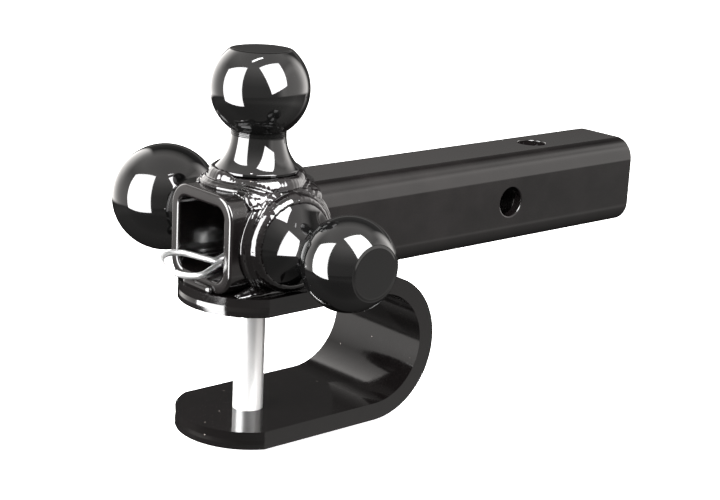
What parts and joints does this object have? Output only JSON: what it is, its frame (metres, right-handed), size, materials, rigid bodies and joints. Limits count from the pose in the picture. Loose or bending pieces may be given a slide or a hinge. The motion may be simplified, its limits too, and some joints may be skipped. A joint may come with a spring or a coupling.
{
  "type": "tri-ball hitch mount",
  "caption": "Square tube hitch shank with three tow balls of different sizes and a bent flat-bar hook closed by a clevis pin and wire clip.",
  "frame": {"origin": "point on the flat underside of the hook's lower leg, below the shank's centre line, in the plane of the shank's front end face", "axes": "+Y runs back along the shank to the end that goes into the receiver, +X points to the smallest ball, +Z points to the top ball"},
  "size_m": [0.199, 0.3186, 0.2075],
  "materials": {
    "satin_black_paint": "satin black powder coat",
    "gloss_black_paint": "gloss black paint",
    "mirror_black_paint": "gloss black paint, mirror smooth over turned balls",
    "bright_zinc": "bright zinc plate"
  },
  "bodies": {
    "mount": {"shank_tube": "satin_black_paint", "top_ball": "mirror_black_paint", "right_ball": "mirror_black_paint", "left_ball": "mirror_black_paint", "weld_top_ball": "gloss_black_paint", "weld_right_ball": "gloss_black_paint", "weld_left_ball": "gloss_black_paint", "weld_corner_right": "gloss_black_paint", "weld_corner_left": "gloss_black_paint", "tow_hook": "gloss_black_paint", "weld_hook_right": "gloss_black_paint", "weld_hook_left": "gloss_black_paint", "weld_hook_front": "gloss_black_paint"},
    "pin": {"hook_pin": "bright_zinc"},
    "clip": {"pull_clip": "bright_zinc"}
  },
  "joints": [
    {"name": "pin_turn", "type": "hinge", "parent": "mount", "child": "pin", "pos_m": [0, 0.0336, 0.0899], "axis": [0, 0, 1], "range_deg": [0, 16]},
    {"name": "clip_pull", "type": "slide", "parent": "pin", "child": "clip", "axis": [-0.0523, -0.9977, 0.0436], "range_m": [0, 0.03]}
  ]
}
